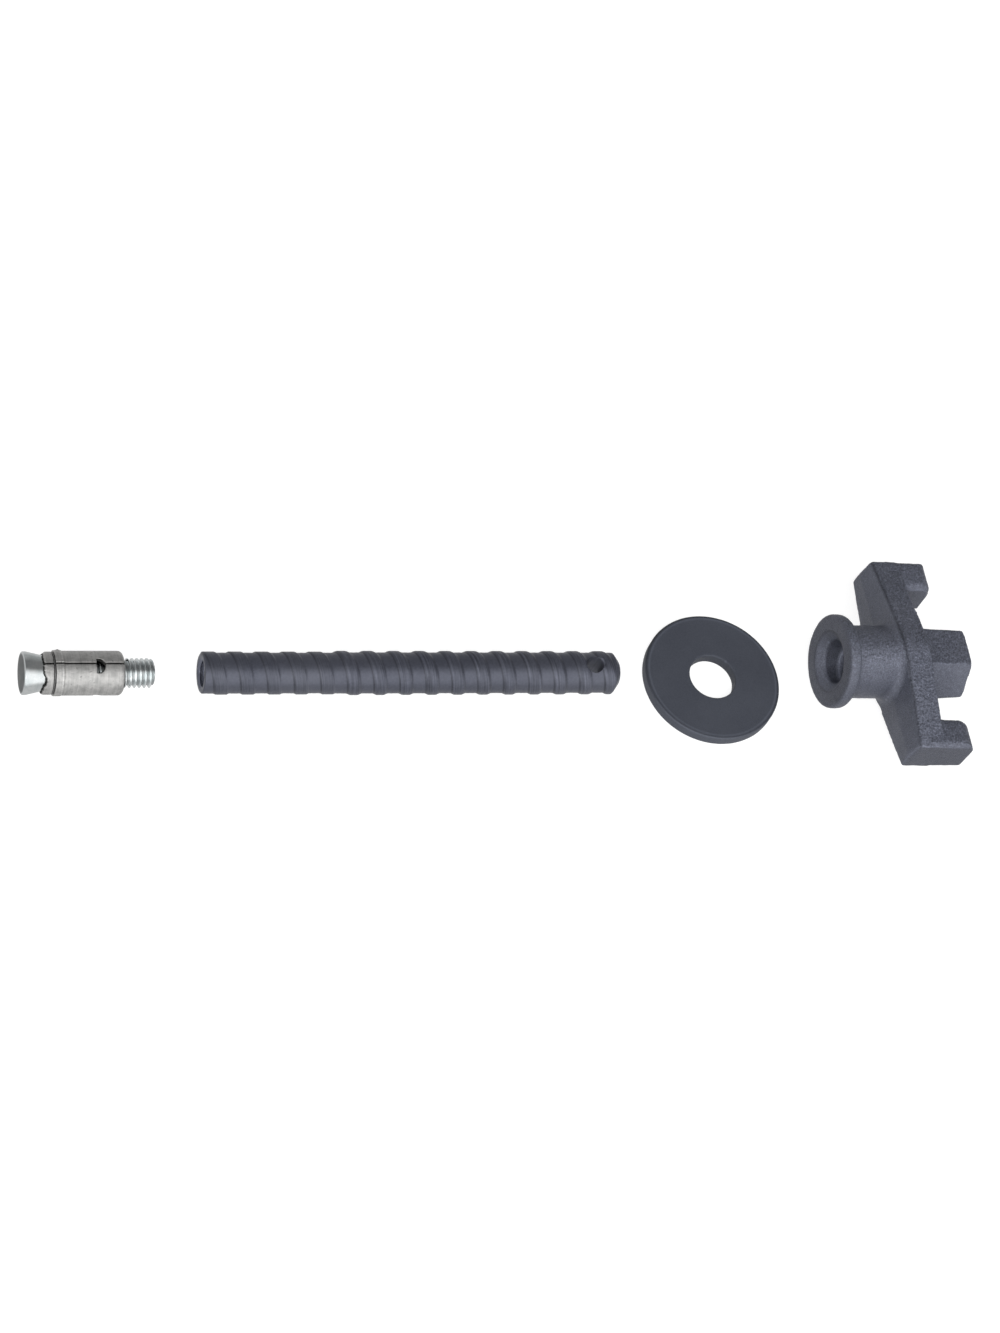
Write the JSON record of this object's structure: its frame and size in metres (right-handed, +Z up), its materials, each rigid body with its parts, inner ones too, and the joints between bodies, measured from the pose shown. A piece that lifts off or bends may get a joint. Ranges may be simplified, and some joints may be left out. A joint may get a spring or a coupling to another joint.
{
  "type": "expansion anchor",
  "caption": "Expansion anchor kit laid in a row: cone bolt in a slotted shield, coarse-ribbed rod, plain washer and wing nut with hexagon.",
  "frame": {"origin": "centre of the whole row's footprint, on the surface that the pieces lie on", "axes": "+X along the row from the cone bolt to the wing nut, +Y across it, +Z up"},
  "size_m": [0.4048, 0.092, 0.0401],
  "materials": {
    "bright_zinc": "glossy",
    "dull_zinc": "satin",
    "spring_wire": "satin",
    "rod_steel": "satin",
    "washer_steel": "satin",
    "nut_casting": "matte"
  },
  "bodies": {
    "set": {"threaded_rod": "rod_steel", "washer": "washer_steel", "wing_nut": "nut_casting", "spring_ring": "spring_wire"},
    "cone_bolt": {"cone_bolt": "bright_zinc"},
    "segment_1": {"segment_1": "dull_zinc"},
    "segment_2": {"segment_2": "dull_zinc"},
    "segment_3": {"segment_3": "dull_zinc"}
  },
  "joints": [
    {"name": "cone_draw", "type": "slide", "parent": "set", "child": "cone_bolt", "axis": [1, 0, 0], "range_m": [0, 0.003]},
    {"name": "segment_1_rock", "type": "hinge", "parent": "set", "child": "segment_1", "pos_m": [-0.16104, -0.00548, 0.01194], "axis": [0, 0.454, 0.891], "range_deg": [0, 1.27]},
    {"name": "segment_2_rock", "type": "hinge", "parent": "set", "child": "segment_2", "pos_m": [-0.16104, 0.00032, 0.00301], "axis": [0, -0.9986, -0.0523], "range_deg": [0, 1.27]},
    {"name": "segment_3_rock", "type": "hinge", "parent": "set", "child": "segment_3", "pos_m": [-0.16104, 0.00516, 0.0125], "axis": [0, 0.5446, -0.8387], "range_deg": [0, 1.27]}
  ],
  "couplings": [
    {"joint": "segment_1_rock", "follows": "cone_draw", "rad_per_m": 7.3513},
    {"joint": "segment_2_rock", "follows": "cone_draw", "rad_per_m": 7.3513},
    {"joint": "segment_3_rock", "follows": "cone_draw", "rad_per_m": 7.3513}
  ]
}
